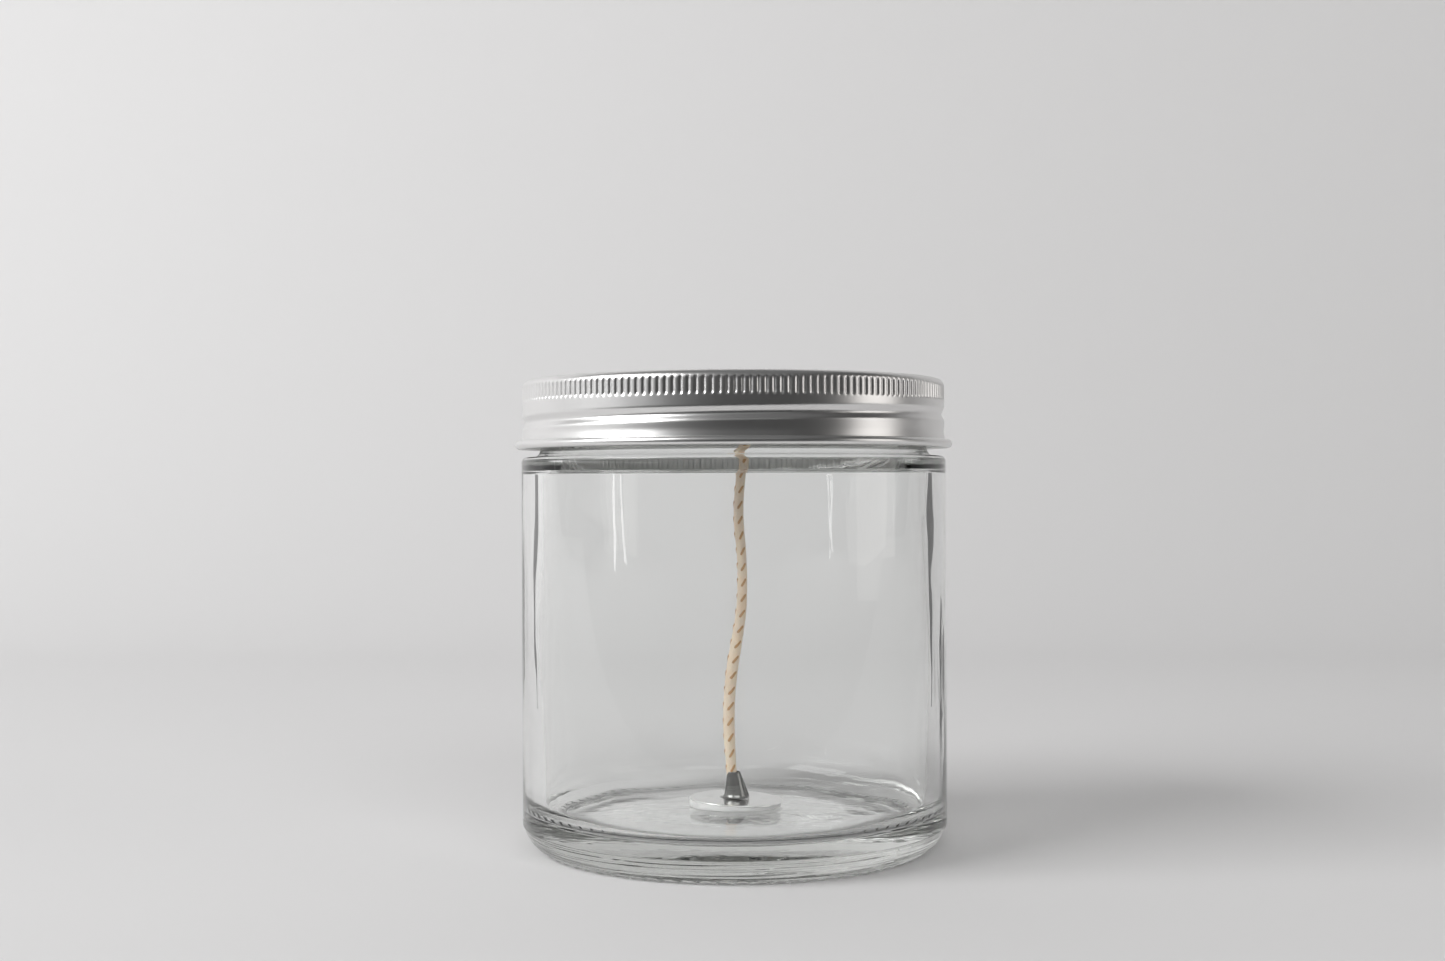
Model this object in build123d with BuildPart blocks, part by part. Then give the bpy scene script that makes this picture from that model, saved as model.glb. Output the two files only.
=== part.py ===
"""Straight-sided glass candle jar with a screw-on aluminium lid and a primed wick.

Millimetres, +Z up. The origin is the centre of the ring that the jar stands on.
"""

from build123d import *
import math
import os

# ---- driving dimensions ------------------------------------------------------------------

# glass body
body_r = 45.0
wall = 4.4
floor_z = 8.3
floor_flat_r = 11.5
floor_edge_z = 6.9
floor_corner_r = 3.0
heel_h = 5.2
bearing_outer_r = 41.2
bearing_inner_r = 37.6
push_up = 1.6
stipple_count = 72
stipple_width = 1.05
stipple_depth = 0.35
stipple_inner_r = 38.7
stipple_root = 0.1

# shoulder and threaded mouth
shoulder_z = 82.2
shoulder_round = 1.6
neck_r = 41.0
cove_outer_r = 42.8
cove_round = 1.8
neck_z = 83.9
neck_land = 0.4
finish_r = 42.9
finish_z = 85.8
rim_z = 96.45
rim_round = 0.8
bore_r = 38.6
inner_shoulder_low = 79.2
inner_shoulder_high = 84.2

# right-hand screw thread, shared by the glass and the lid
pitch = 3.8
lid_thread_z = 87.2
lid_thread_from = -20.0
lid_thread_turns = 1.45
roll_closing = 1.5
lid_groove_depth = 0.7
roll_back_half = 1.25
roll_back_flat_half = 0.75
roll_hollow_half = 1.15
roll_hollow_flat_half = 0.5
roll_hollow_overrun = 0.3
glass_thread_rise = 1.8
glass_thread_from = -60.0
glass_thread_turns = 1.4
glass_thread_r = 44.0
glass_thread_foot_half = 0.85
glass_thread_crest_half = 0.3
glass_thread_sunk = 0.5

# lid shell
lid_r = 44.74
sheet = 0.4
lid_top_z = 98.3
panel_drop = 0.55
ring_inner_r = 40.6
panel_step = 0.9
lid_corner_r = 1.4
curl_sweep = 270.0
curl_flats = 6
corner_flats = 3
curl_outer_r = 46.35
lid_foot_z = 83.85
knurl_low = 93.6
knurl_high = 96.9
flute_count = 188
flute_depth = 0.18
flute_half = 0.55
flute_overrun = 0.1

# foam liner
liner_r = 42.9
liner_round = 0.2
seat_gap = 0.02

# wick tab and its adhesive dot
tab_x = 0.3
tab_tilt = 2.2
tab_r = 10.0
tab_thickness = 0.3
tab_edge_round = 0.08
dot_r = 9.9
dot_offset = -0.3
dot_thickness = 1.2
neck_foot = 0.5
neck_height = 5.6
neck_root_r = 2.55
neck_top_r = 1.62
neck_lean = -0.85
neck_flare = 0.35
dimple_x = 6.0
dimple_r = 0.9
dimple_depth = 0.12

# wick
wick_d = 2.5
wick_clearance = 0.05
wick_bore_length = 10.0
wick_route = [
    (-0.25, 0.0, 9.85),
    (-0.75, 0.1, 18.0),
    (-1.35, 0.6, 28.0),
    (-0.55, 0.9, 38.5),
    (1.35, 0.3, 49.0),
    (1.85, -0.3, 60.0),
    (1.15, 0.0, 70.5),
    (1.75, 0.5, 80.5),
    (2.45, 0.5, 89.0),
]

os.makedirs("parts", exist_ok=True)


def finished(part, name):
    """Label a piece and write it to its own file."""
    part.label = name
    export_step(part, f"parts/{name}.step")


def thread_plane(start_angle, start_z):
    """XY plane turned to a thread's first angle, at the height that the thread has there."""
    return Plane(
        origin=(0, 0, start_z),
        x_dir=(math.cos(math.radians(start_angle)), math.sin(math.radians(start_angle)), 0),
        z_dir=(0, 0, 1),
    )


def thread_height(start_angle, rise=0.0):
    """Height of the shared helix at an angle, plus a rise."""
    return lid_thread_z + rise + pitch * start_angle / 360


def across(path):
    """Plane across the start of a path, its x axis pointing away from the Z axis."""
    start = path @ 0
    return Plane(origin=start, x_dir=(start.X, start.Y, 0), z_dir=path % 0)


# ---- glass jar -----------------------------------------------------------------------------

inner_r = body_r - wall
corner_r = inner_r - floor_corner_r
heel_in, heel_rise = body_r - bearing_outer_r, heel_h - stipple_depth
heel_round = (heel_in**2 + heel_rise**2) / (2 * heel_in)

with BuildPart() as glass_jar:
    with BuildSketch(Plane.XZ):
        with BuildLine():
            Polyline((0, push_up), (0, floor_z), (floor_flat_r, floor_z), (corner_r, floor_edge_z))
            RadiusArc((corner_r, floor_edge_z), (inner_r, floor_edge_z + floor_corner_r), -floor_corner_r)
            Polyline(
                (inner_r, floor_edge_z + floor_corner_r),
                (inner_r, inner_shoulder_low),
                (bore_r, inner_shoulder_high),
                (bore_r, rim_z - rim_round),
            )
            RadiusArc((bore_r, rim_z - rim_round), (bore_r + rim_round, rim_z), rim_round)
            Line((bore_r + rim_round, rim_z), (finish_r - rim_round, rim_z))
            RadiusArc((finish_r - rim_round, rim_z), (finish_r, rim_z - rim_round), rim_round)
            Polyline(
                (finish_r, rim_z - rim_round),
                (finish_r, finish_z),
                (neck_r, neck_z + neck_land),
                (neck_r, neck_z),
            )
            RadiusArc((neck_r, neck_z), (cove_outer_r, shoulder_z), -cove_round)
            Line((cove_outer_r, shoulder_z), (body_r - shoulder_round, shoulder_z))
            RadiusArc(
                (body_r - shoulder_round, shoulder_z),
                (body_r, shoulder_z - shoulder_round),
                shoulder_round,
            )
            Line((body_r, shoulder_z - shoulder_round), (body_r, heel_h))
            RadiusArc((body_r, heel_h), (bearing_outer_r, stipple_depth), heel_round)
            Polyline(
                (bearing_outer_r, stipple_depth),
                (stipple_inner_r, stipple_depth),
                (stipple_inner_r, 0),
                (bearing_inner_r, 0),
                (0, push_up),
            )
        make_face()
    revolve(axis=Axis.Z)

    # raised stipples around the bearing ring, each rooted in the plain ring inside them
    with BuildSketch(Plane.XY):
        with PolarLocations((stipple_inner_r + bearing_outer_r) / 2 - stipple_root, stipple_count):
            Rectangle(bearing_outer_r - stipple_inner_r, stipple_width)
    extrude(amount=stipple_depth)

    # external thread
    ridge_start_z = thread_height(glass_thread_from, glass_thread_rise)
    with BuildLine(thread_plane(glass_thread_from, ridge_start_z)) as ridge:
        Helix(pitch, pitch * glass_thread_turns, finish_r)
    with BuildSketch(across(ridge.line)):
        crest = glass_thread_r - finish_r
        with BuildLine():
            Polyline(
                (-glass_thread_sunk, -glass_thread_foot_half),
                (crest, -glass_thread_crest_half),
                (crest, glass_thread_crest_half),
                (-glass_thread_sunk, glass_thread_foot_half),
                close=True,
            )
        make_face()
    sweep(path=ridge.line, is_frenet=True)

finished(glass_jar.part, "glass_jar")

# ---- lid -------------------------------------------------------------------------------------

mid_r = lid_r - sheet / 2
mid_top = lid_top_z - sheet / 2
mid_curl = (curl_outer_r - sheet / 2 - mid_r) / 2
curl_z = lid_foot_z + mid_curl + sheet / 2

# profiles of the rolled thread, measured outwards from the lid's wall and up from the helix
back_depth = lid_groove_depth + sheet
roll_back = [
    (-sheet / 2, -roll_back_half),
    (-sheet / 2, roll_back_half),
    (-back_depth, roll_back_flat_half),
    (-back_depth, -roll_back_flat_half),
]
roll_hollow = [
    (roll_hollow_overrun, -roll_hollow_half),
    (roll_hollow_overrun, roll_hollow_half),
    (-lid_groove_depth, roll_hollow_flat_half),
    (-lid_groove_depth, -roll_hollow_flat_half),
]


def flats(centre, radius, first, last, count):
    """Points of a small round drawn as a few flats, from the first angle to the last, in degrees."""
    turns = [math.radians(first + (last - first) * i / count) for i in range(count + 1)]
    return [(centre[0] + radius * math.cos(turn), centre[1] + radius * math.sin(turn)) for turn in turns]


def shell_side(offset):
    """One side of the lid's sheet, from its axis to its curl's end, offset from the sheet's middle."""
    corner = (mid_r - lid_corner_r, mid_top - lid_corner_r)
    panel_z = mid_top - panel_drop + offset
    return [
        (0, panel_z),
        (ring_inner_r, panel_z),
        (ring_inner_r + panel_step, mid_top + offset),
        *flats(corner, lid_corner_r + offset, 90, 0, corner_flats),
        *flats((mid_r + mid_curl, curl_z), mid_curl - offset, 180, 180 + curl_sweep, curl_flats),
    ]


with BuildPart() as lid:
    with BuildSketch(Plane.XZ):
        with BuildLine():
            Polyline(*shell_side(sheet / 2), *reversed(shell_side(-sheet / 2)), close=True)
        make_face()
    revolve(axis=Axis.Z)

    # the thread is a roll pressed inwards: its back is added, then a shorter hollow is taken out
    for profile, closing, mode in ((roll_back, roll_closing, Mode.ADD), (roll_hollow, 0, Mode.SUBTRACT)):
        first_angle = lid_thread_from - closing
        with BuildLine(thread_plane(first_angle, thread_height(first_angle))) as roll:
            Helix(pitch, pitch * (lid_thread_turns + 2 * closing / 360), lid_r)
        with BuildSketch(across(roll.line)):
            with BuildLine():
                Polyline(*profile, close=True)
            make_face()
        sweep(path=roll.line, is_frenet=True, mode=mode)

    # knurled grip band
    with BuildSketch(Plane.XY.offset(knurl_low)):
        with PolarLocations(lid_r, flute_count):
            Polygon(
                (-flute_depth, 0),
                (flute_overrun, -flute_half),
                (flute_overrun, flute_half),
                align=None,
            )
    extrude(amount=knurl_high - knurl_low, mode=Mode.SUBTRACT)

finished(lid.part, "lid")

# ---- foam liner ------------------------------------------------------------------------------

liner_top = lid_top_z - panel_drop - sheet - seat_gap
with BuildPart() as lid_liner:
    with BuildSketch(Plane.XY.offset(rim_z + seat_gap)):
        Circle(liner_r)
    extrude(amount=liner_top - rim_z - seat_gap)
    fillet(lid_liner.edges().group_by(Axis.Z)[-1], liner_round)

finished(lid_liner.part, "lid_liner")

# ---- adhesive dot: a foam disc squeezed into a slight wedge by the tilted tab --------------------

lean = math.radians(tab_tilt)
tab_plane = Plane(
    origin=(tab_x, 0, floor_z + dot_thickness),
    x_dir=(math.cos(lean), 0, -math.sin(lean)),
    z_dir=(math.sin(lean), 0, math.cos(lean)),
)

with BuildPart() as wick_sticker:
    with BuildSketch(Plane.XY.offset(floor_z)):
        with Locations((tab_x + dot_offset, 0)):
            Circle(dot_r)
    extrude(amount=2 * dot_thickness)
    split(bisect_by=tab_plane, keep=Keep.BOTTOM)

finished(wick_sticker.part, "wick_sticker")

# ---- wick tab: disc with a drawn neck, crimped on the wick ---------------------------------------

with BuildPart() as wick_sustainer:
    with BuildSketch(tab_plane):
        Circle(tab_r)
    extrude(amount=tab_thickness)
    fillet(wick_sustainer.edges().group_by(SortBy.LENGTH)[-1], tab_edge_round)
    with BuildSketch(tab_plane.offset(tab_thickness)):
        Circle(neck_root_r + neck_flare)
    with BuildSketch(tab_plane.offset(tab_thickness + neck_foot)):
        Circle(neck_root_r)
    loft()
    with BuildSketch(tab_plane.offset(tab_thickness + neck_foot)):
        Circle(neck_root_r)
    with BuildSketch(tab_plane.offset(tab_thickness + neck_height)):
        with Locations((neck_lean, 0)):
            Circle(neck_top_r)
    loft()
    with BuildSketch(tab_plane.offset(tab_thickness - dimple_depth)):
        with Locations((-dimple_x, 0), (dimple_x, 0)):
            Circle(dimple_r)
    extrude(amount=dimple_depth, mode=Mode.SUBTRACT)

    # bore around the foot of the wick
    foot, above = Vector(*wick_route[0]), Vector(*wick_route[1])
    with BuildSketch(Plane(origin=foot, z_dir=above - foot)):
        Circle(wick_d / 2 + wick_clearance)
    extrude(amount=wick_bore_length, mode=Mode.SUBTRACT)

finished(wick_sustainer.part, "wick_sustainer")

# ---- wick: straight runs joined by tangent arcs as large as the runs allow -----------------------


def corner_radii(route, share=0.45):
    """Radius of the arc at each inner point of a route, from a share of its shorter run."""
    radii = []
    for before, corner, after in zip(route, route[1:], route[2:]):
        run_in = Vector(*corner) - Vector(*before)
        run_out = Vector(*after) - Vector(*corner)
        half_turn = math.radians(run_in.get_angle(run_out)) / 2
        radii.append(share * min(run_in.length, run_out.length) / math.tan(half_turn))
    return radii


wick_radii = corner_radii(wick_route)
print("wick radii", [round(radius, 1) for radius in wick_radii])

with BuildPart() as wick:
    with BuildLine() as wick_path:
        FilletPolyline(*wick_route, radius=wick_radii)
    with BuildSketch(Plane(origin=wick_path.line @ 0, z_dir=wick_path.line % 0)):
        Circle(wick_d / 2)
    sweep(path=wick_path.line)

wick_length = wick_path.wire().length
wick_volume = math.pi * (wick_d / 2) ** 2 * wick_length
print("wick length", round(wick_length, 2), "volume ratio", round(wick.part.volume / wick_volume, 4))

finished(wick.part, "wick")
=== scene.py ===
"""Looks of the candle jar: clear glass, a stamped aluminium lid, a metal tab and a braided wick."""

import math

import bpy
import numpy as np
from mathutils import Matrix, Vector


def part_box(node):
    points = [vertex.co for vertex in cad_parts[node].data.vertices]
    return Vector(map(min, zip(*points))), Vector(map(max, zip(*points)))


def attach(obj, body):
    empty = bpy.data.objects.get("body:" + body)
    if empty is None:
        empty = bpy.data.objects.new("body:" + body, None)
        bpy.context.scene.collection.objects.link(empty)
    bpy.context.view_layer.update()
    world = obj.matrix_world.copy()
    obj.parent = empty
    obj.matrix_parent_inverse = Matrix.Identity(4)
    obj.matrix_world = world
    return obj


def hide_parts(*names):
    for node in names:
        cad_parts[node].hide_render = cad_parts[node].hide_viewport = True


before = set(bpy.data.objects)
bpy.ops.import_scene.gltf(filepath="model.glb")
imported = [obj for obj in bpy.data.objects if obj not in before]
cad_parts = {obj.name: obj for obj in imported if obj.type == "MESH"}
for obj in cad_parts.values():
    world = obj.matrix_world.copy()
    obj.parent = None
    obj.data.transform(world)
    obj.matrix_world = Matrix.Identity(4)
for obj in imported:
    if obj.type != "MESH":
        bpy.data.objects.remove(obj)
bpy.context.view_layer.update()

MM = 0.001
TAU = 2 * math.pi


# ---- sizes, in millimetres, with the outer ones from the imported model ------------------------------


def box_mm(node):
    """Lowest and highest corners of a CAD node, in millimetres."""
    low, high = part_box(node)
    return low / MM, high / MM


jar_low, jar_high = box_mm("glass_jar")
lid_low, lid_high = box_mm("lid")
liner_low, liner_high = box_mm("lid_liner")
dot_low, dot_high = box_mm("wick_sticker")

body_r = jar_high.x
jar_base = jar_low.z
rim_z = jar_high.z
rim_round = 0.8
floor_z = dot_low.z
wall = 4.4
inner_r = body_r - wall
shoulder_z = rim_z - 14.25
neck_r = 41.0
neck_fillet = 1.8
neck_z = 84.0
finish_r = 42.9
finish_z = 85.8
bore_r = 38.6
bore_low = 84.2
inner_shoulder_low = 78.7

pitch = 3.8
lid_thread_z = 87.2
glass_thread_z = lid_thread_z + 1.8
glass_thread_top = 95.7

lid_r = 44.74
sheet = 0.4
lid_top = lid_high.z
curl_r = 0.9
curl_x = lid_high.x - curl_r
curl_z = lid_low.z + curl_r
knurl_low = 93.6
knurl_high = 96.9
flute_count = 188

dot_thickness = 1.2
tab_x = 0.3
tab_tilt = math.radians(2.2)

wick_route = [
    (-0.25, 0.0, 9.85),
    (-0.75, 0.1, 18.0),
    (-1.35, 0.6, 28.0),
    (-0.55, 0.9, 38.5),
    (1.35, 0.3, 49.0),
    (1.85, -0.3, 60.0),
    (1.15, 0.0, 70.5),
    (1.75, 0.5, 80.5),
    (2.45, 0.5, 89.0),
]


# ---- outline helpers -------------------------------------------------------------------------------


def straight(start, end, steps):
    """Points from start up to, but not including, end."""
    return [tuple(np.array(start) + (np.array(end) - np.array(start)) * i / steps) for i in range(steps)]


def arc(centre, radius, first, last, steps):
    """Points on an arc, angles in degrees, the last one left out."""
    turns = [math.radians(first + (last - first) * i / steps) for i in range(steps)]
    return [(centre[0] + radius * math.cos(a), centre[1] + radius * math.sin(a)) for a in turns]


def swell(share):
    """0 to 1 as share goes from 0 to 1, slow at both ends."""
    return share * share * (3 - 2 * share)


def ease(start, end, steps):
    """Points on an S curve that leaves and arrives upright, the last one left out."""
    across, up = end[0] - start[0], end[1] - start[1]
    shares = [i / steps for i in range(steps)]
    return [(start[0] + across * swell(share), start[1] + up * share) for share in shares]


def ease_flat(start, end, steps):
    """Points on an S curve that leaves and arrives level, the last one left out."""
    across, up = end[0] - start[0], end[1] - start[1]
    shares = [i / steps for i in range(steps)]
    return [(start[0] + across * share, start[1] + up * swell(share)) for share in shares]


def smooth(x, low, high):
    """0 below low, 1 above high, and smooth between them."""
    return swell(np.clip((np.asarray(x, float) - low) / (high - low), 0, 1))


# ---- mesh helpers ----------------------------------------------------------------------------------


def new_object(name, points, faces, materials):
    """A smooth-shaded mesh object from points in millimetres."""
    mesh = bpy.data.meshes.new(name)
    mesh.from_pydata((np.asarray(points, float) * MM).tolist(), [], faces)
    mesh.update()
    mesh.polygons.foreach_set("use_smooth", [True] * len(mesh.polygons))
    for material in materials:
        mesh.materials.append(material)
    piece = bpy.data.objects.new(name, mesh)
    bpy.context.scene.collection.objects.link(piece)
    return piece


def strip(first, second):
    """Quads between two rings of vertex numbers with the same count."""
    count = len(first)
    return [(first[i], first[(i + 1) % count], second[(i + 1) % count], second[i]) for i in range(count)]


def stitched(first, second, step):
    """Faces between two rings, one of which may have step times as many points."""
    if len(first) == len(second):
        return strip(first, second)
    coarse, fine = (first, second) if len(first) < len(second) else (second, first)
    faces = []
    for i in range(len(coarse)):
        run = [fine[(i * step + k) % len(fine)] for k in range(step + 1)]
        face = (coarse[i], coarse[(i + 1) % len(coarse)], *run[::-1])
        faces.append(face if coarse is first else face[::-1])
    return faces


def fan(ring, pole, flip=False):
    """Triangles from a ring to one point."""
    count = len(ring)
    around = [(ring[i], ring[(i + 1) % count], pole) for i in range(count)]
    return [face[::-1] for face in around] if flip else around


def lathe(profile, count, shape):
    """Points and faces of an outline turned about Z. Its first and last points are on the axis.

    shape(radii, heights, angles) gives a ring's final radii and heights.
    """
    angles = np.arange(count) * TAU / count
    points, faces, rings = [(0, 0, profile[0][1])], [], []
    for radius, height in profile[1:-1]:
        radii, heights = shape(np.full(count, float(radius)), np.full(count, float(height)), angles)
        rings.append(list(range(len(points), len(points) + count)))
        points.extend(zip(radii * np.cos(angles), radii * np.sin(angles), heights))
    last = len(points)
    points.append((0, 0, profile[-1][1]))
    faces.extend(fan(rings[0], 0, flip=True))
    for low, high in zip(rings, rings[1:]):
        faces.extend(strip(low, high))
    faces.extend(fan(rings[-1], last))
    return points, faces


def thread_wave(heights, angles, start_z, half_width, first_turn, last_turn, fade):
    """How far inside a screw thread's band each point is, 0 to 1, fading out at the thread's ends."""
    share = np.zeros_like(heights)
    for turn in range(-1, 3):
        turned = angles / TAU + turn
        offset = np.abs(heights - (start_z + pitch * turned)) / half_width
        bump = np.where(offset < 1, np.cos(np.clip(offset, 0, 1) * math.pi / 2) ** 2, 0)
        begun = smooth(turned, first_turn, first_turn + fade)
        ended = smooth(turned, last_turn - fade, last_turn)
        share = np.maximum(share, bump * (begun * (1 - ended)))
    return share


# ---- material helpers ------------------------------------------------------------------------------


def new_material(name, **sockets):
    """A new Principled material with plain values on its sockets, and its shader."""
    made = bpy.data.materials.new(name)
    made.use_nodes = True
    shader = made.node_tree.nodes["Principled BSDF"]
    for socket, value in sockets.items():
        shader.inputs[socket.replace("_", " ")].default_value = value
    return made, shader


def wired(made, source, shader, socket):
    """Links a signal to one of the shader's sockets."""
    made.node_tree.links.new(source, shader.inputs[socket])


def noise(made, scale, detail, stretch=(1, 1, 1), source=None):
    """Noise over the object's own coordinates in metres, or over source, stretched along each axis."""
    nodes, links = made.node_tree.nodes, made.node_tree.links
    mapping = nodes.new("ShaderNodeMapping")
    mapping.inputs["Scale"].default_value = stretch
    texture = nodes.new("ShaderNodeTexNoise")
    texture.inputs["Scale"].default_value = scale
    texture.inputs["Detail"].default_value = detail
    if source is None:
        source = nodes.new("ShaderNodeTexCoord").outputs["Object"]
    links.new(source, mapping.inputs["Vector"])
    links.new(mapping.outputs["Vector"], texture.inputs["Vector"])
    return texture.outputs["Fac"]


def ranged(made, source, low, high, from_low=0.3, from_high=0.7):
    """A signal between from_low and from_high mapped to the range from low to high."""
    node = made.node_tree.nodes.new("ShaderNodeMapRange")
    ends = {"From Min": from_low, "From Max": from_high, "To Min": low, "To Max": high}
    for socket, value in ends.items():
        node.inputs[socket].default_value = value
    made.node_tree.links.new(source, node.inputs["Value"])
    return node.outputs["Result"]


def blended(made, source, first, second):
    """A colour that goes from first to second as source goes from 0 to 1."""
    ramp = made.node_tree.nodes.new("ShaderNodeValToRGB")
    ramp.color_ramp.elements[0].color = (*first, 1)
    ramp.color_ramp.elements[1].color = (*second, 1)
    made.node_tree.links.new(source, ramp.inputs["Fac"])
    return ramp.outputs["Color"]


def bumped(made, shader, source, strength, distance):
    """Gives the shader a bump from a height signal, the distance in metres."""
    node = made.node_tree.nodes.new("ShaderNodeBump")
    node.inputs["Strength"].default_value = strength
    node.inputs["Distance"].default_value = distance
    made.node_tree.links.new(source, node.inputs["Height"])
    wired(made, node.outputs["Normal"], shader, "Normal")


def around_axis(made):
    """Coordinates that follow a turned part: the angle about Z, the radius and the height."""
    nodes, links = made.node_tree.nodes, made.node_tree.links
    parts = nodes.new("ShaderNodeSeparateXYZ")
    links.new(nodes.new("ShaderNodeTexCoord").outputs["Object"], parts.inputs["Vector"])
    angle = nodes.new("ShaderNodeMath")
    angle.operation = "ARCTAN2"
    links.new(parts.outputs["Y"], angle.inputs[0])
    links.new(parts.outputs["X"], angle.inputs[1])
    flat = nodes.new("ShaderNodeCombineXYZ")
    links.new(parts.outputs["X"], flat.inputs["X"])
    links.new(parts.outputs["Y"], flat.inputs["Y"])
    radius = nodes.new("ShaderNodeVectorMath")
    radius.operation = "LENGTH"
    links.new(flat.outputs["Vector"], radius.inputs[0])
    joined = nodes.new("ShaderNodeCombineXYZ")
    links.new(angle.outputs["Value"], joined.inputs["X"])
    links.new(radius.outputs["Value"], joined.inputs["Y"])
    links.new(parts.outputs["Z"], joined.inputs["Z"])
    return joined.outputs["Vector"]


# ---- camera and stage ------------------------------------------------------------------------------


def add_camera():
    """A nearly level view from in front, at about three quarters of the height of the jar and its lid."""
    data = bpy.data.cameras.new("camera")
    data.lens = 44.66
    data.sensor_width = 36
    camera = bpy.data.objects.new("camera", data)
    bpy.context.scene.collection.objects.link(camera)
    place = Vector((3.0, -382.8, 76.84)) * MM
    forward = Vector((-0.01397, 0.99990, 0.00091)).normalized()
    right = forward.cross(Vector((0, 0, 1))).normalized()
    above = right.cross(forward)
    roll = math.radians(-0.241)
    turned_right = right * math.cos(roll) + above * math.sin(roll)
    turned_above = above * math.cos(roll) - right * math.sin(roll)
    turn = Matrix((turned_right, turned_above, -forward)).transposed()
    camera.matrix_world = Matrix.Translation(place) @ turn.to_4x4()
    bpy.context.scene.camera = camera


def add_sheet(name, outline, paper, mirrored=True):
    """A sheet of the stage that follows an outline of (y, z) places, in metres."""
    half_width = 2.2
    points = [(x, y, z) for y, z in outline for x in (-half_width, half_width)]
    faces = [(2 * i, 2 * i + 1, 2 * i + 3, 2 * i + 2) for i in range(len(outline) - 1)]
    piece = new_object(name, np.array(points) / MM, faces, [paper])
    piece.visible_glossy = mirrored


def add_stage():
    """Pale paper that is the floor and sweeps up into the backdrop. Gloss doesn't show its front part."""
    paper, shader = new_material("stage_paper", Roughness=0.9, Specular_IOR_Level=0.1)
    shader.inputs["Base Color"].default_value = (0.80, 0.795, 0.795, 1)
    front, mirrored_front, bend_start, bend_r, wall_top = -1.2, -0.16, 0.40, 0.35, 1.6
    wall_y = bend_start + bend_r
    bend = arc((bend_start, bend_r), bend_r, -90, 0, 32)
    back = [(mirrored_front, 0.0), *bend, (wall_y, bend_r), (wall_y, wall_top)]
    add_sheet("floor", back, paper)
    add_sheet("floor_front", [(front, 0.0), (mirrored_front, 0.0)], paper, mirrored=False)
    add_flag("flag_left", -1, 38.0, 45.0, 0.14)
    add_flag("flag_right", 1, 37.0, 45.0, 0.10)


def add_flag(name, side, first, last, grey):
    """A narrow dark card close beside the jar that only glass shows, and that darkens the jar's edge.

    It is square to the front view and edge-on from the sides. It spans the directions, in degrees, that the
    jar's edge bends the front view to, and it tapers downwards. In oblique views, such as from 45, 225 or
    315 degrees, it can show through the glass as a dark spike.
    """
    edge_x, edge_y, gap = 0.0433, -0.0123, 0.022
    rows = ((0.026, 0.85), (0.050, 0.2), (0.079, 0.0))
    points = []
    for height, start in rows:
        for turn in (first + start * (last - first), last):
            points.append((side * (edge_x + gap * math.tan(math.radians(turn))), edge_y + gap, height))
    card, shader = new_material(name + "_card", Roughness=1.0, Specular_IOR_Level=0.0)
    shader.inputs["Base Color"].default_value = (grey, grey, grey, 1)
    flag = new_object(name, np.array(points) / MM, [(0, 1, 3, 2), (2, 3, 5, 4)], [card])
    flag.visible_camera = flag.visible_diffuse = flag.visible_shadow = flag.visible_glossy = False


# ---- lights ----------------------------------------------------------------------------------------


def new_light(name, shape, area, radiance):
    """An area light that the camera doesn't see, with its area in square metres."""
    data = bpy.data.lights.new(name, "AREA")
    data.shape = shape
    data.energy = radiance * math.pi * area
    light = bpy.data.objects.new(name, data)
    bpy.context.scene.collection.objects.link(light)
    light.visible_camera = False
    return light, data


def add_light(name, place, aim, size, radiance, colour=(1, 1, 1), mirrored=True):
    """A rectangular soft light at place, facing aim, in metres. mirrored is whether gloss shows it."""
    light, data = new_light(name, "RECTANGLE", size[0] * size[1], radiance)
    data.size, data.size_y = size
    data.color = colour
    light.location = place
    light.rotation_euler = (Vector(aim) - Vector(place)).to_track_quat("-Z", "Y").to_euler()
    light.visible_glossy = mirrored


def add_under_glow():
    """Light on the paper under the jar, in place of the light that the glass base gathers there.

    Neither the camera nor gloss nor glass shows it.
    """
    across, lift, radiance = 0.072, 0.0003, 0.34
    light, data = new_light("under_glow", "DISK", math.pi * (across / 2) ** 2, radiance)
    data.size = across
    light.location = (0, 0, lift)
    light.visible_glossy = light.visible_transmission = False


def add_room():
    """A pale room for what is seen straight or through glass, and a dim one for what is mirrored."""
    world = bpy.data.worlds.new("room")
    world.use_nodes = True
    nodes, links = world.node_tree.nodes, world.node_tree.links
    path = nodes.new("ShaderNodeLightPath")
    seen = nodes.new("ShaderNodeMath")
    seen.operation = "MAXIMUM"
    links.new(path.outputs["Is Camera Ray"], seen.inputs[0])
    links.new(path.outputs["Is Transmission Ray"], seen.inputs[1])
    strength = nodes.new("ShaderNodeMapRange")
    strength.inputs["To Min"].default_value = 0.04
    strength.inputs["To Max"].default_value = 0.6
    links.new(seen.outputs["Value"], strength.inputs["Value"])
    nodes["Background"].inputs["Color"].default_value = (1, 1, 1, 1)
    links.new(strength.outputs["Result"], nodes["Background"].inputs["Strength"])
    bpy.context.scene.world = world


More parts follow.
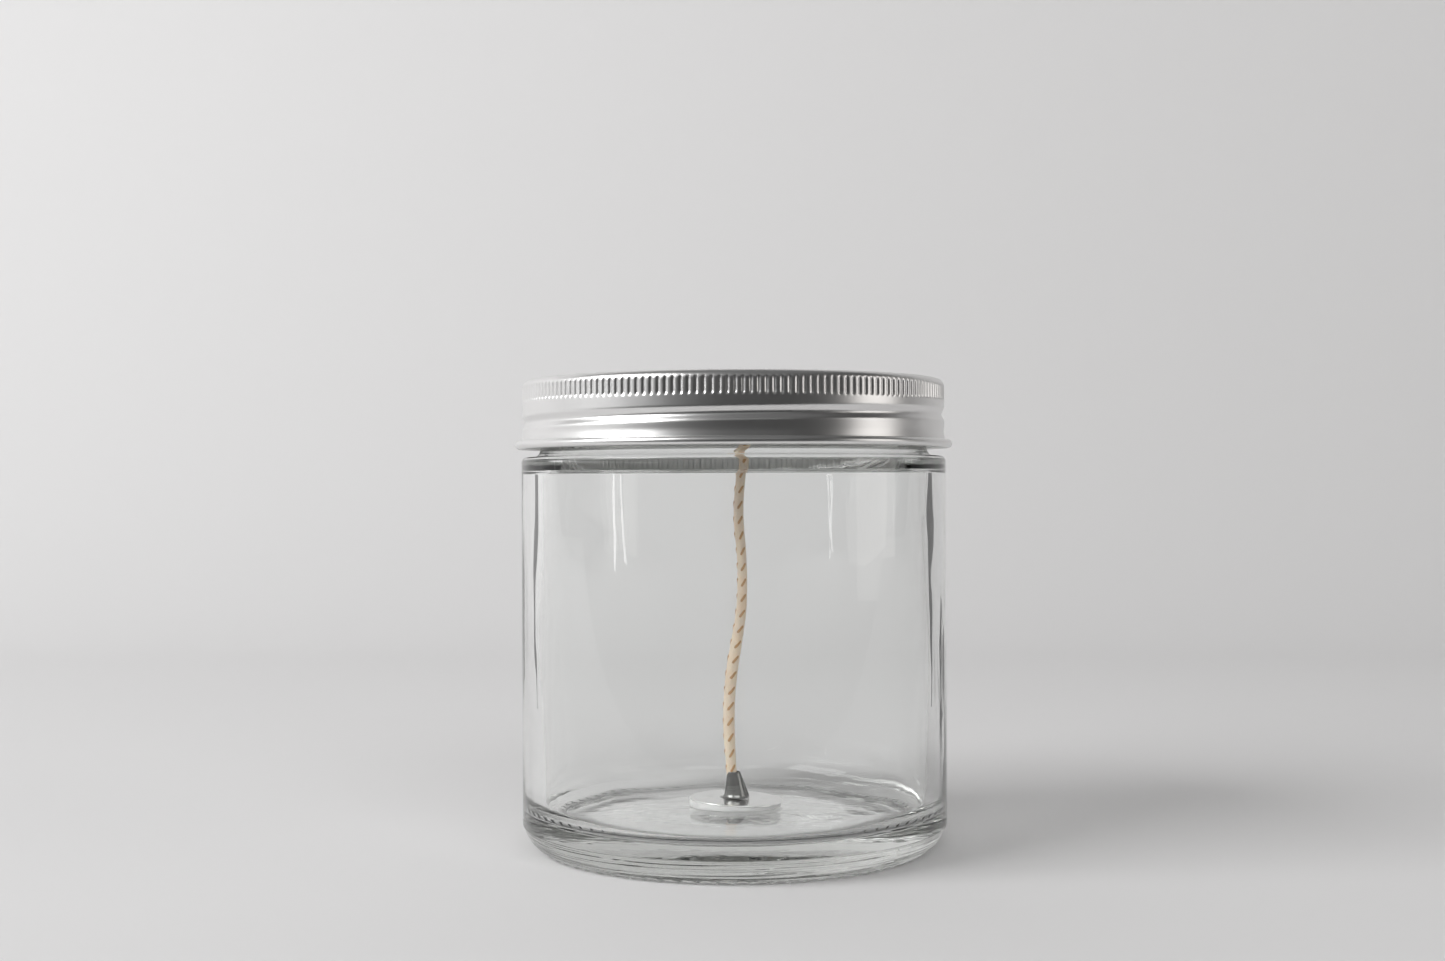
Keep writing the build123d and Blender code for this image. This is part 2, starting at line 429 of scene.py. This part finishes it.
def add_lights():
    """A window, a door gap and a wall at the left, a warm wall at the right, and dim ones in front and above.

    The fill from in front lights the floor, and gloss doesn't show it.
    """
    add_light("window", (-1.26, -0.66, 0.95), (0, 0, 0.05), (1.1, 1.0), 5.9)
    add_light("left_wall", (-1.9, 0.1, 0.6), (0, 0.1, 0.1), (1.6, 1.0), 0.8)
    add_light("door_gap", (-1.35, -0.66, 0.05), (0, 0, 0.06), (0.03, 0.12), 10.0)
    add_light("right_wall", (1.4, -0.25, 0.35), (0, 0, 0.08), (0.7, 0.8), 1.35, (1, 0.97, 0.94))
    add_light("fill", (0.3, -1.5, 1.3), (0, 0.4, 0.1), (1.8, 0.9), 2.35, mirrored=False)
    add_light("front_wall", (0, -3.0, 2.0), (0, 0, 0.3), (4.0, 1.6), 0.18)
    add_light("ceiling", (0, -0.2, 2.2), (0, 0, 0), (3.0, 2.6), 0.10)
    add_under_glow()
    add_room()
    cycles = bpy.context.scene.cycles
    cycles.max_bounces = cycles.transmission_bounces = 24
    cycles.glossy_bounces = 16
    bpy.context.scene.view_settings.view_transform = "Standard"


# ---- glass jar -------------------------------------------------------------------------------------


def glass_material():
    """Clear glass with faint ripples. Its absorption shows only where light runs far, as in the base."""
    glass, shader = new_material(
        "clear_glass",
        Base_Color=(0.985, 0.99, 0.987, 1),
        Roughness=0.0,
        IOR=1.5,
        Transmission_Weight=1.0,
        Specular_Tint=(0.55, 0.55, 0.55, 1),
    )
    ripples = noise(glass, 60, 3.0, (1, 1, 0.2))
    bumped(glass, shader, ripples, 0.22, 0.0008)
    nodes = glass.node_tree.nodes
    absorption = nodes.new("ShaderNodeVolumeAbsorption")
    absorption.inputs["Color"].default_value = (0.866, 0.872, 0.862, 1)
    absorption.inputs["Density"].default_value = 25.0
    wired(glass, absorption.outputs["Volume"], nodes["Material Output"], "Volume")
    return glass


stipples = 72
bearing_out, bearing_in = 41.2, 37.6
bearing_edge = bearing_out - 0.4
heel_h, heel_bulge = 5.2, 0.6


def base_outline():
    """The jar's underside and heel, from the middle of the push-up to the foot of the wall."""
    push_up, steps = 1.6, 26
    outline = [(0, push_up)]
    radii = (4, 10, 16, 22, 27, 31, 34, 36, 37)
    outline += [(r, push_up * (1 - (r / bearing_in) ** 2) ** 1.3) for r in radii]
    outline += straight((bearing_in, jar_base), (bearing_edge, jar_base), 7)
    outline += [(bearing_edge, jar_base)]
    heel_in = body_r - bearing_out
    slope = math.hypot(heel_in, heel_h)
    for i in range(1, steps):
        share, bulge = i / steps, heel_bulge * math.sin(math.pi * i / steps)
        radius = bearing_out + heel_in * share + bulge * heel_h / slope
        outline.append((radius, 0.1 + (heel_h - 0.1) * share - bulge * heel_in / slope))
    return outline + [(body_r, heel_h), (body_r, heel_h + 0.15)]


def outer_outline():
    """The jar's outside, from the wall over the shoulder and the neck to its rim."""
    shoulder_round = 1.0
    fillet_x = neck_r + neck_fillet
    outline = straight((body_r, heel_h + 0.5), (body_r, shoulder_z - shoulder_round), 22)
    outline += arc((body_r - shoulder_round, shoulder_z - shoulder_round), shoulder_round, 0, 90, 8)
    outline += straight((body_r - shoulder_round, shoulder_z), (fillet_x, shoulder_z), 2)
    outline += arc((fillet_x, neck_z), neck_fillet, -90, -180, 8)
    outline += straight((neck_r, neck_z), (neck_r, neck_z + 0.3), 1)
    outline += ease((neck_r, neck_z + 0.3), (finish_r, finish_z), 5)
    outline += straight((finish_r, finish_z), (finish_r, rim_z - rim_round), 36)
    outline += arc((finish_r - rim_round, rim_z - rim_round), rim_round, 0, 90, 5)
    return outline + straight((finish_r - rim_round, rim_z), (bore_r + rim_round, rim_z), 2)


def inner_outline():
    """The jar's inside, from its rim down the bore, the inner shoulder and the wall to the floor."""
    floor_edge, floor_corner, floor_flat = floor_z - 1.4, 5.0, 11.5
    outline = arc((bore_r + rim_round, rim_z - rim_round), rim_round, 90, 180, 5)
    outline += straight((bore_r, rim_z - rim_round), (bore_r, bore_low), 6)
    outline += straight((bore_r, bore_low), (inner_r, inner_shoulder_low), 8)
    outline += [(inner_r, inner_shoulder_low)]
    outline += straight((inner_r, inner_shoulder_low - 0.2), (inner_r, floor_edge + floor_corner), 22)
    outline += arc((inner_r - floor_corner, floor_edge + floor_corner), floor_corner, 0, -90, 12)
    outline += ease_flat((inner_r - floor_corner, floor_edge), (floor_flat, floor_z), 10)
    return outline + [(floor_flat, floor_z), (6, floor_z), (0, floor_z)]


def moulded(radii, heights, angles):
    """What the mould leaves on the turned jar: thread, stipples, streaks in the heel and an uneven wall."""
    thread_depth, stipple_depth, streak_depth, wave_depth = 1.1, 0.35, 0.05, 0.06
    stipple_r, wave_low, wave_high = 38.7, 12, 79
    radius, height = radii[0], heights[0]
    if finish_z <= height <= glass_thread_top and radius > finish_r - 0.01:
        thread = thread_wave(heights, angles, glass_thread_z, 0.95, -0.17, 1.25, 0.06)
        radii = radii + thread_depth * thread
    if height < 0.6 and radius > stipple_r:
        ridge = np.abs(np.cos(angles * stipples / 2)) ** 6
        heights = heights + stipple_depth * (1 - ridge) * smooth(radius, stipple_r, stipple_r + 0.7)
    if 0.3 < height < heel_h - 0.3 and radius > bearing_out:
        streaks = np.sin(7 * height + 1.5 * np.sin(2 * angles))
        streaks = streaks + 0.7 * np.sin(11 * height + 2 * np.sin(5 * angles + 1))
        radii = radii - streak_depth * (1.7 + streaks)
    if inner_r - 0.5 < radius < inner_r + 0.1 and wave_low < height < wave_high:
        share = smooth(height, wave_low, wave_low + 10) * (1 - smooth(height, wave_high - 9, wave_high))
        wave = np.sin(3 * angles + 1.3 + 0.05 * height) + 0.8 * np.sin(7 * angles + 0.4 - 0.07 * height)
        wave = wave + 0.5 * np.sin(13 * angles + 2.1 + 0.11 * height)
        radii = radii + wave_depth * share * wave
    return radii, heights


def build_jar():
    """The jar as one closed skin, so that light passes through real glass walls."""
    outline = base_outline() + outer_outline() + inner_outline()
    points, faces = lathe(outline, stipples * 7, moulded)
    jar = new_object("jar_glass", points, faces, [glass_material()])
    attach(jar, "jar")
    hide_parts("glass_jar")


# ---- lid -------------------------------------------------------------------------------------------


def lid_material():
    """Satin aluminium with faint rings from spinning."""
    metal, shader = new_material("lid_aluminium", Metallic=1.0)
    cloud = noise(metal, 60, 2.0)
    rings = noise(metal, 700, 2.0, (0.002, 1, 1), around_axis(metal))
    wired(metal, blended(metal, rings, (0.84, 0.835, 0.83), (0.88, 0.875, 0.87)), shader, "Base Color")
    wired(metal, ranged(metal, cloud, 0.31, 0.34), shader, "Roughness")
    return metal


def lid_path():
    """The middle line of the lid's metal, from the centre of its top to the end of its curl."""
    panel_r, panel_drop, panel_step, corner = 40.2, 0.55, 1.7, 1.4
    skirt, top = lid_r - sheet / 2, lid_top - sheet / 2
    mid_curl, curl_start = curl_r - sheet / 2, curl_z + 2.6
    path = straight((0, top - panel_drop), (panel_r, top - panel_drop), 12)
    path += ease_flat((panel_r, top - panel_drop), (panel_r + panel_step, top), 5)
    path += straight((panel_r + panel_step, top), (skirt - corner, top), 3)
    path += arc((skirt - corner, top - corner), corner, 90, 0, 9)
    path += straight((skirt, top - corner), (skirt, knurl_low - 0.3), 16)
    path += straight((skirt, knurl_low - 0.3), (skirt, curl_start), 28)
    path += ease((skirt, curl_start), (curl_x - mid_curl, curl_z), 10)
    return path + arc((curl_x, curl_z), mid_curl, 180, 462, 26)


def offset_path(path, distance):
    """The path moved sideways, to its left for a positive distance."""
    points = np.array(path)
    along = np.gradient(points, axis=0)
    along /= np.linalg.norm(along, axis=1)[:, None]
    along[0] = (1, 0)
    return points + distance * np.stack([-along[:, 1], along[:, 0]], axis=1)


def pressed(radii, heights, angles):
    """Radial shape that the dies press into the lid's side: flutes and a rolled thread."""
    flute_depth, roll_depth = 0.24, 0.62
    groove = (0.5 - 0.5 * np.cos(angles * flute_count)) ** 2.5
    above_foot = smooth(heights, knurl_low - 0.15, knurl_low + 0.45)
    above_head = smooth(heights, knurl_high - 0.35, knurl_high + 0.35)
    band = above_foot * (1 - above_head)
    roll = thread_wave(heights, angles, lid_thread_z, 1.55, -0.06, 1.42, 0.12)
    return radii - flute_depth * groove * band - roll_depth * roll


def build_lid():
    """The lid as one closed sheet. Only the rings that carry the flutes have all their points."""
    fine, coarse_step = flute_count * 12, 6
    path = lid_path()
    outer, inner = offset_path(path, sheet / 2), offset_path(path, -sheet / 2)
    outline = [tuple(p) for p in outer] + [tuple(p) for p in inner[::-1]]
    angles = np.arange(fine) * TAU / fine
    points, faces, rings = [(0, 0, outline[0][1])], [], []
    for radius, height in outline[1:-1]:
        fluted = knurl_low - 0.4 < height < knurl_high + 0.5 and radius > lid_r - 1.5
        turns = angles if fluted else angles[::coarse_step]
        radii, heights = np.full(len(turns), float(radius)), np.full(len(turns), float(height))
        if radius > lid_r - 0.9 and height > curl_z + 1.2:
            radii = pressed(radii, heights, turns)
        rings.append(list(range(len(points), len(points) + len(turns))))
        points.extend(zip(radii * np.cos(turns), radii * np.sin(turns), heights))
    last = len(points)
    points.append((0, 0, outline[-1][1]))
    faces.extend(fan(rings[0], 0))
    for first, second in zip(rings, rings[1:]):
        faces.extend(face[::-1] for face in stitched(first, second, coarse_step))
    faces.extend(fan(rings[-1], last, flip=True))
    lid = new_object("lid_shell", points, faces, [lid_material()])
    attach(lid, "lid")
    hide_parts("lid")


# ---- liner -----------------------------------------------------------------------------------------


def foam_material(name, colour, shade):
    """Closed-cell foam with fine pores, from shade in them to colour."""
    foam, shader = new_material(name, Roughness=0.75, Specular_IOR_Level=0.3, Subsurface_Weight=0.1)
    shader.inputs["Subsurface Radius"].default_value = (0.002, 0.002, 0.002)
    cells = noise(foam, 2600, 4.0)
    wired(foam, blended(foam, cells, shade, colour), shader, "Base Color")
    bumped(foam, shader, cells, 0.5, 0.00008)
    return foam


def build_liner():
    """A foam disc with the shallow ring that the jar's rim presses into its underside."""
    low, high, radius = liner_low.z, liner_high.z, liner_high.x
    low_round, high_round, dent = 0.15, 0.2, 0.06
    outline = [(r, low) for r in (0, 10, 20, 30, 37)]
    outline += straight((38.0, low), (radius - low_round, low), 8)
    outline += arc((radius - low_round, low + low_round), low_round, -90, 0, 4)
    outline += arc((radius - high_round, high - high_round), high_round, 0, 90, 5)
    outline += [(r, high) for r in (radius - high_round, 40, 30, 20, 10, 0)]

    def dented(radii, heights, angles):
        if heights[0] < low + 0.01 and 38.5 < radii[0] < 42.4:
            heights = heights + dent
        return radii, heights

    points, faces = lathe(outline, 256, dented)
    foam = foam_material("liner_foam", (0.86, 0.86, 0.84), (0.74, 0.74, 0.72))
    liner = new_object("liner_disc", points, faces, [foam])
    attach(liner, "liner")
    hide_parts("lid_liner")


# ---- tab and its adhesive dot ----------------------------------------------------------------------


def steel_material():
    """Tinned steel, with painted shade that colours the neck, where it is drawn out of the disc, far darker
    than the disc.
    """
    steel, shader = new_material("tinned_steel", Metallic=1.0)
    grain = noise(steel, 700, 3.0, (1, 0.15, 1))
    parts = steel.node_tree.nodes.new("ShaderNodeSeparateXYZ")
    steel.node_tree.links.new(around_axis(steel), parts.inputs["Vector"])
    # Painted shade: within 2.9 mm of the axis, on the neck, the colour goes dark; beyond 3.3 mm it is the
    # disc's bright tin.
    neck = ranged(steel, parts.outputs["Y"], 1, 0, 2.9 * MM, 3.3 * MM)
    wired(steel, blended(steel, neck, (0.86, 0.86, 0.85), (0.17, 0.17, 0.165)), shader, "Base Color")
    wired(steel, ranged(steel, grain, 0.12, 0.22), shader, "Roughness")
    return steel


def tab_rows(radius, thick, neck_top):
    """The tab's outline as (radius, height, share of the way up the neck)."""
    edge_r, neck_foot, neck_low_r, neck_high_r = 0.14, thick + 0.65, 2.48, 1.5
    rows = [(r, 0.0, 0.0) for r in (0, 3, 6, 9)]
    rows += [(r, z, 0.0) for r, z in arc((radius - edge_r, edge_r), edge_r, -90, 90, 8)]
    rows += [(r, thick, 0.0) for r in np.linspace(radius - 0.2, 3.4, 30)]
    rows += [(r, z, 0.0) for r, z in arc((3.1, thick + 0.45), 0.45, -90, -150, 6)]
    for t in np.linspace(0, 1, 22):
        across = neck_low_r + (neck_high_r - neck_low_r) * t**0.9
        rows.append((across, neck_foot + (neck_top - neck_foot) * t, t))
    for a in (0.6, 1.2, 1.8, 2.6):
        rows.append((neck_high_r - 0.12 * (1 - math.cos(a)), neck_top + 0.1 * math.sin(a), 1.0))
    rows += [(1.27, neck_top - 0.25 - 1.2 * s, 1.0) for s in (0, 0.5, 1)]
    return rows + [(0.0, neck_top - 1.5, 1.0)]


def build_tab():
    """A round disc with two dimples and a neck that leans, is a little oval and has a crimped fin."""
    thick, lean, count = 0.3, 0.64, 120
    fin_height, fin_angle, fin_width = 0.42, 0.1, 0.2
    dimple_x, dimple_r, dimple_depth = 6.0, 0.8, 0.13
    rows = tab_rows(10.0, thick, 5.85)
    angles = np.arange(count) * TAU / count
    fin_share = np.exp(-(((angles + math.pi) % TAU - math.pi - fin_angle) / fin_width) ** 2)
    points, faces, rings = [(0, 0, 0)], [], []
    for r, z, t in rows[1:-1]:
        climbing = 1 if z > thick + 0.5 else 0
        reach = r + fin_height * (1 - t) ** 1.2 * fin_share * climbing
        x = reach * np.cos(angles) - lean * t * climbing
        y = reach * np.sin(angles) * (1 - 0.06 * t * climbing)
        heights = np.full(count, float(z))
        if abs(z - thick) < 1e-6:
            heights -= dimple_depth * np.exp(-((np.abs(x) - dimple_x) ** 2 + y**2) / dimple_r**2)
        rings.append(list(range(len(points), len(points) + count)))
        points.extend(zip(x, y, heights))
    last = len(points)
    points.append((-lean, 0, rows[-1][1]))
    faces.extend(fan(rings[0], 0, flip=True))
    for low, high in zip(rings, rings[1:]):
        faces.extend(strip(low, high))
    faces.extend(fan(rings[-1], last))
    turn = Matrix.Translation((tab_x, 0, floor_z + dot_thickness)) @ Matrix.Rotation(tab_tilt, 4, "Y")
    placed = [turn @ Vector(p) for p in points]
    tab = new_object("wick_tab", placed, faces, [steel_material()])
    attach(tab, "jar")
    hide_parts("wick_sustainer")


def build_dot():
    """The foam dot between the floor and the tilted tab, with a slightly ragged edge."""
    radius = (dot_high.x - dot_low.x) / 2
    centre_x = (dot_high.x + dot_low.x) / 2
    outline = [(r, 0) for r in (0, 4, 8)]
    edge = np.linspace(0.04, 0.96, 9)
    outline += [(radius - 0.1 + 0.1 * math.sin(s * math.pi), dot_thickness * s) for s in edge]
    outline += [(r, dot_thickness) for r in (8, 4, 0)]

    def squeezed(radii, heights, angles):
        top = floor_z + dot_thickness - np.tan(tab_tilt) * (radii * np.cos(angles) + centre_x - tab_x)
        ragged = 0.05 * np.sin(17 * angles) + 0.04 * np.sin(41 * angles + 1)
        radii = np.where(radii > 9, radii + ragged - 0.08, radii)
        return radii, floor_z + (top - floor_z) * heights / dot_thickness

    points, faces = lathe(outline, 160, squeezed)
    points = [(x + centre_x, y, z) for x, y, z in points]
    points[0] = (centre_x, 0, floor_z)
    points[-1] = (centre_x, 0, floor_z + dot_thickness)
    foam = foam_material("dot_foam", (0.97, 0.97, 0.96), (0.93, 0.93, 0.92))
    dot = new_object("adhesive_dot", points, faces, [foam])
    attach(dot, "jar")
    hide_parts("wick_sticker")


# ---- wick ------------------------------------------------------------------------------------------


def wick_line():
    """Points along the wick's smooth line, in metres."""
    data = bpy.data.curves.new("wick_line", "CURVE")
    data.dimensions = "3D"
    data.resolution_u = 48
    spline = data.splines.new("NURBS")
    spline.points.add(len(wick_route) - 1)
    for point, place in zip(spline.points, wick_route):
        point.co = (*(Vector(place) * MM), 1)
    spline.order_u = 3
    spline.use_endpoint_u = True
    holder = bpy.data.objects.new("wick_line", data)
    bpy.context.scene.collection.objects.link(holder)
    mesh = bpy.data.meshes.new_from_object(holder)
    line = np.array([v.co[:] for v in mesh.vertices])
    bpy.data.objects.remove(holder)
    bpy.data.meshes.remove(mesh)
    return line


def cotton_material():
    """Waxed cotton, stained unevenly."""
    cotton, shader = new_material(
        "waxed_cotton",
        Roughness=0.5,
        Subsurface_Weight=0.25,
        Sheen_Weight=0.15,
        Coat_Weight=0.12,
        Coat_Roughness=0.35,
    )
    shader.inputs["Subsurface Radius"].default_value = (0.0012, 0.0008, 0.0005)
    fibre = noise(cotton, 2200, 4.0, (1, 1, 0.3))
    stain = noise(cotton, 260, 2.0)
    wired(cotton, blended(cotton, stain, (1.0, 0.73, 0.51), (1.0, 0.87, 0.72)), shader, "Base Color")
    bumped(cotton, shader, fibre, 0.35, 0.0001)
    return cotton


def tracer_material():
    """The tan thread that runs through the braid."""
    tan, shader = new_material("tan_tracer", Roughness=0.6, Subsurface_Weight=0.1)
    shader.inputs["Subsurface Radius"].default_value = (0.0008, 0.0005, 0.0003)
    fibre = noise(tan, 1800, 3.0)
    wired(tan, blended(tan, fibre, (0.55, 0.29, 0.12), (0.72, 0.44, 0.22)), shader, "Base Color")
    bumped(tan, shader, fibre, 0.4, 0.0001)
    return tan


def unit(vectors):
    """The vectors with a length of one."""
    return vectors / np.linalg.norm(vectors, axis=1)[:, None]


def wick_course(line):
    """Even steps along the wick, in millimetres: distances, middles, and directions to its side and front."""
    steps = np.linalg.norm(np.diff(line, axis=0), axis=1)
    gone = np.concatenate([[0], np.cumsum(steps)])
    run = np.linspace(0, gone[-1], 300)
    centre = np.stack([np.interp(run, gone, line[:, k]) for k in range(3)], axis=1) / MM
    ahead = unit(np.gradient(centre, axis=0))
    side = unit(np.cross(ahead, np.tile((0, 1.0, 0), (len(centre), 1))))
    return run / MM, centre, side, np.cross(side, ahead)


def strand(course, lay, share, thick, reach, dip, period, phase, sides):
    """Points and faces of one strand, at its reach from the wick's middle.

    It turns once each lay, from its share of a turn, and rises and dips once each period.
    """
    run, centre, side, front = course
    turned = TAU * (run / lay + share)
    weave = np.clip(2.0 * np.cos(TAU * (run / period + phase)) + 0.2, -1, 1)
    away = np.cos(turned)[:, None] * side + np.sin(turned)[:, None] * front
    path = centre + (reach + dip * weave)[:, None] * away
    heading = unit(np.gradient(path, axis=0))
    out = unit(away - np.sum(away * heading, axis=1)[:, None] * heading)
    beside = np.cross(heading, out)
    points = []
    for k in range(len(path)):
        for s in range(sides):
            a = TAU * s / sides
            points.append(path[k] + thick * (0.72 * math.cos(a) * out[k] + 1.3 * math.sin(a) * beside[k]))
    rings = [list(range(k * sides, (k + 1) * sides)) for k in range(len(path))]
    faces = [face for low, high in zip(rings, rings[1:]) for face in strip(low, high)]
    return points, [*faces, tuple(rings[0][::-1]), tuple(rings[-1])]


def wick_strands():
    """Each strand as its material's number and its measures: a braid laid both ways, and tracer threads."""
    count, lay = 8, 13.2
    tracers, dash_gap, dash_side = 3, 3.3, 0.70
    yarn = {"thick": 0.38, "reach": 0.89, "period": lay / count, "sides": 10}
    tracer = {"thick": 0.24, "reach": 0.97, "period": dash_gap, "sides": 8}
    strands = []
    for share in (index / count for index in range(count)):
        strands.append((0, {**yarn, "lay": lay, "share": share, "dip": 0.02, "phase": share}))
        strands.append((0, {**yarn, "lay": -lay, "share": share, "dip": -0.02, "phase": share}))
    for index in range(tracers):
        place = {"lay": -tracers * dash_gap, "share": index / tracers, "phase": tracers * dash_side}
        strands.append((1, {**tracer, **place, "dip": 0.13}))
    return strands


def build_wick():
    """The braided wick, stiff with wax, along its own line."""
    line = wick_line()
    course = wick_course(line)
    points, faces, kinds = [], [], []
    for kind, measures in wick_strands():
        base = len(points)
        strand_points, strand_faces = strand(course, **measures)
        points.extend(strand_points)
        faces.extend(tuple(base + i for i in face) for face in strand_faces)
        kinds.extend([kind] * len(strand_faces))
    wick = new_object("braided_wick", points, faces, [cotton_material(), tracer_material()])
    wick.data.polygons.foreach_set("material_index", kinds)
    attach(wick, "jar")
    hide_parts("wick")


# ---- the whole scene -------------------------------------------------------------------------------

add_camera()
build_wick()
add_stage()
add_lights()
build_jar()
build_lid()
build_liner()
build_tab()
build_dot()
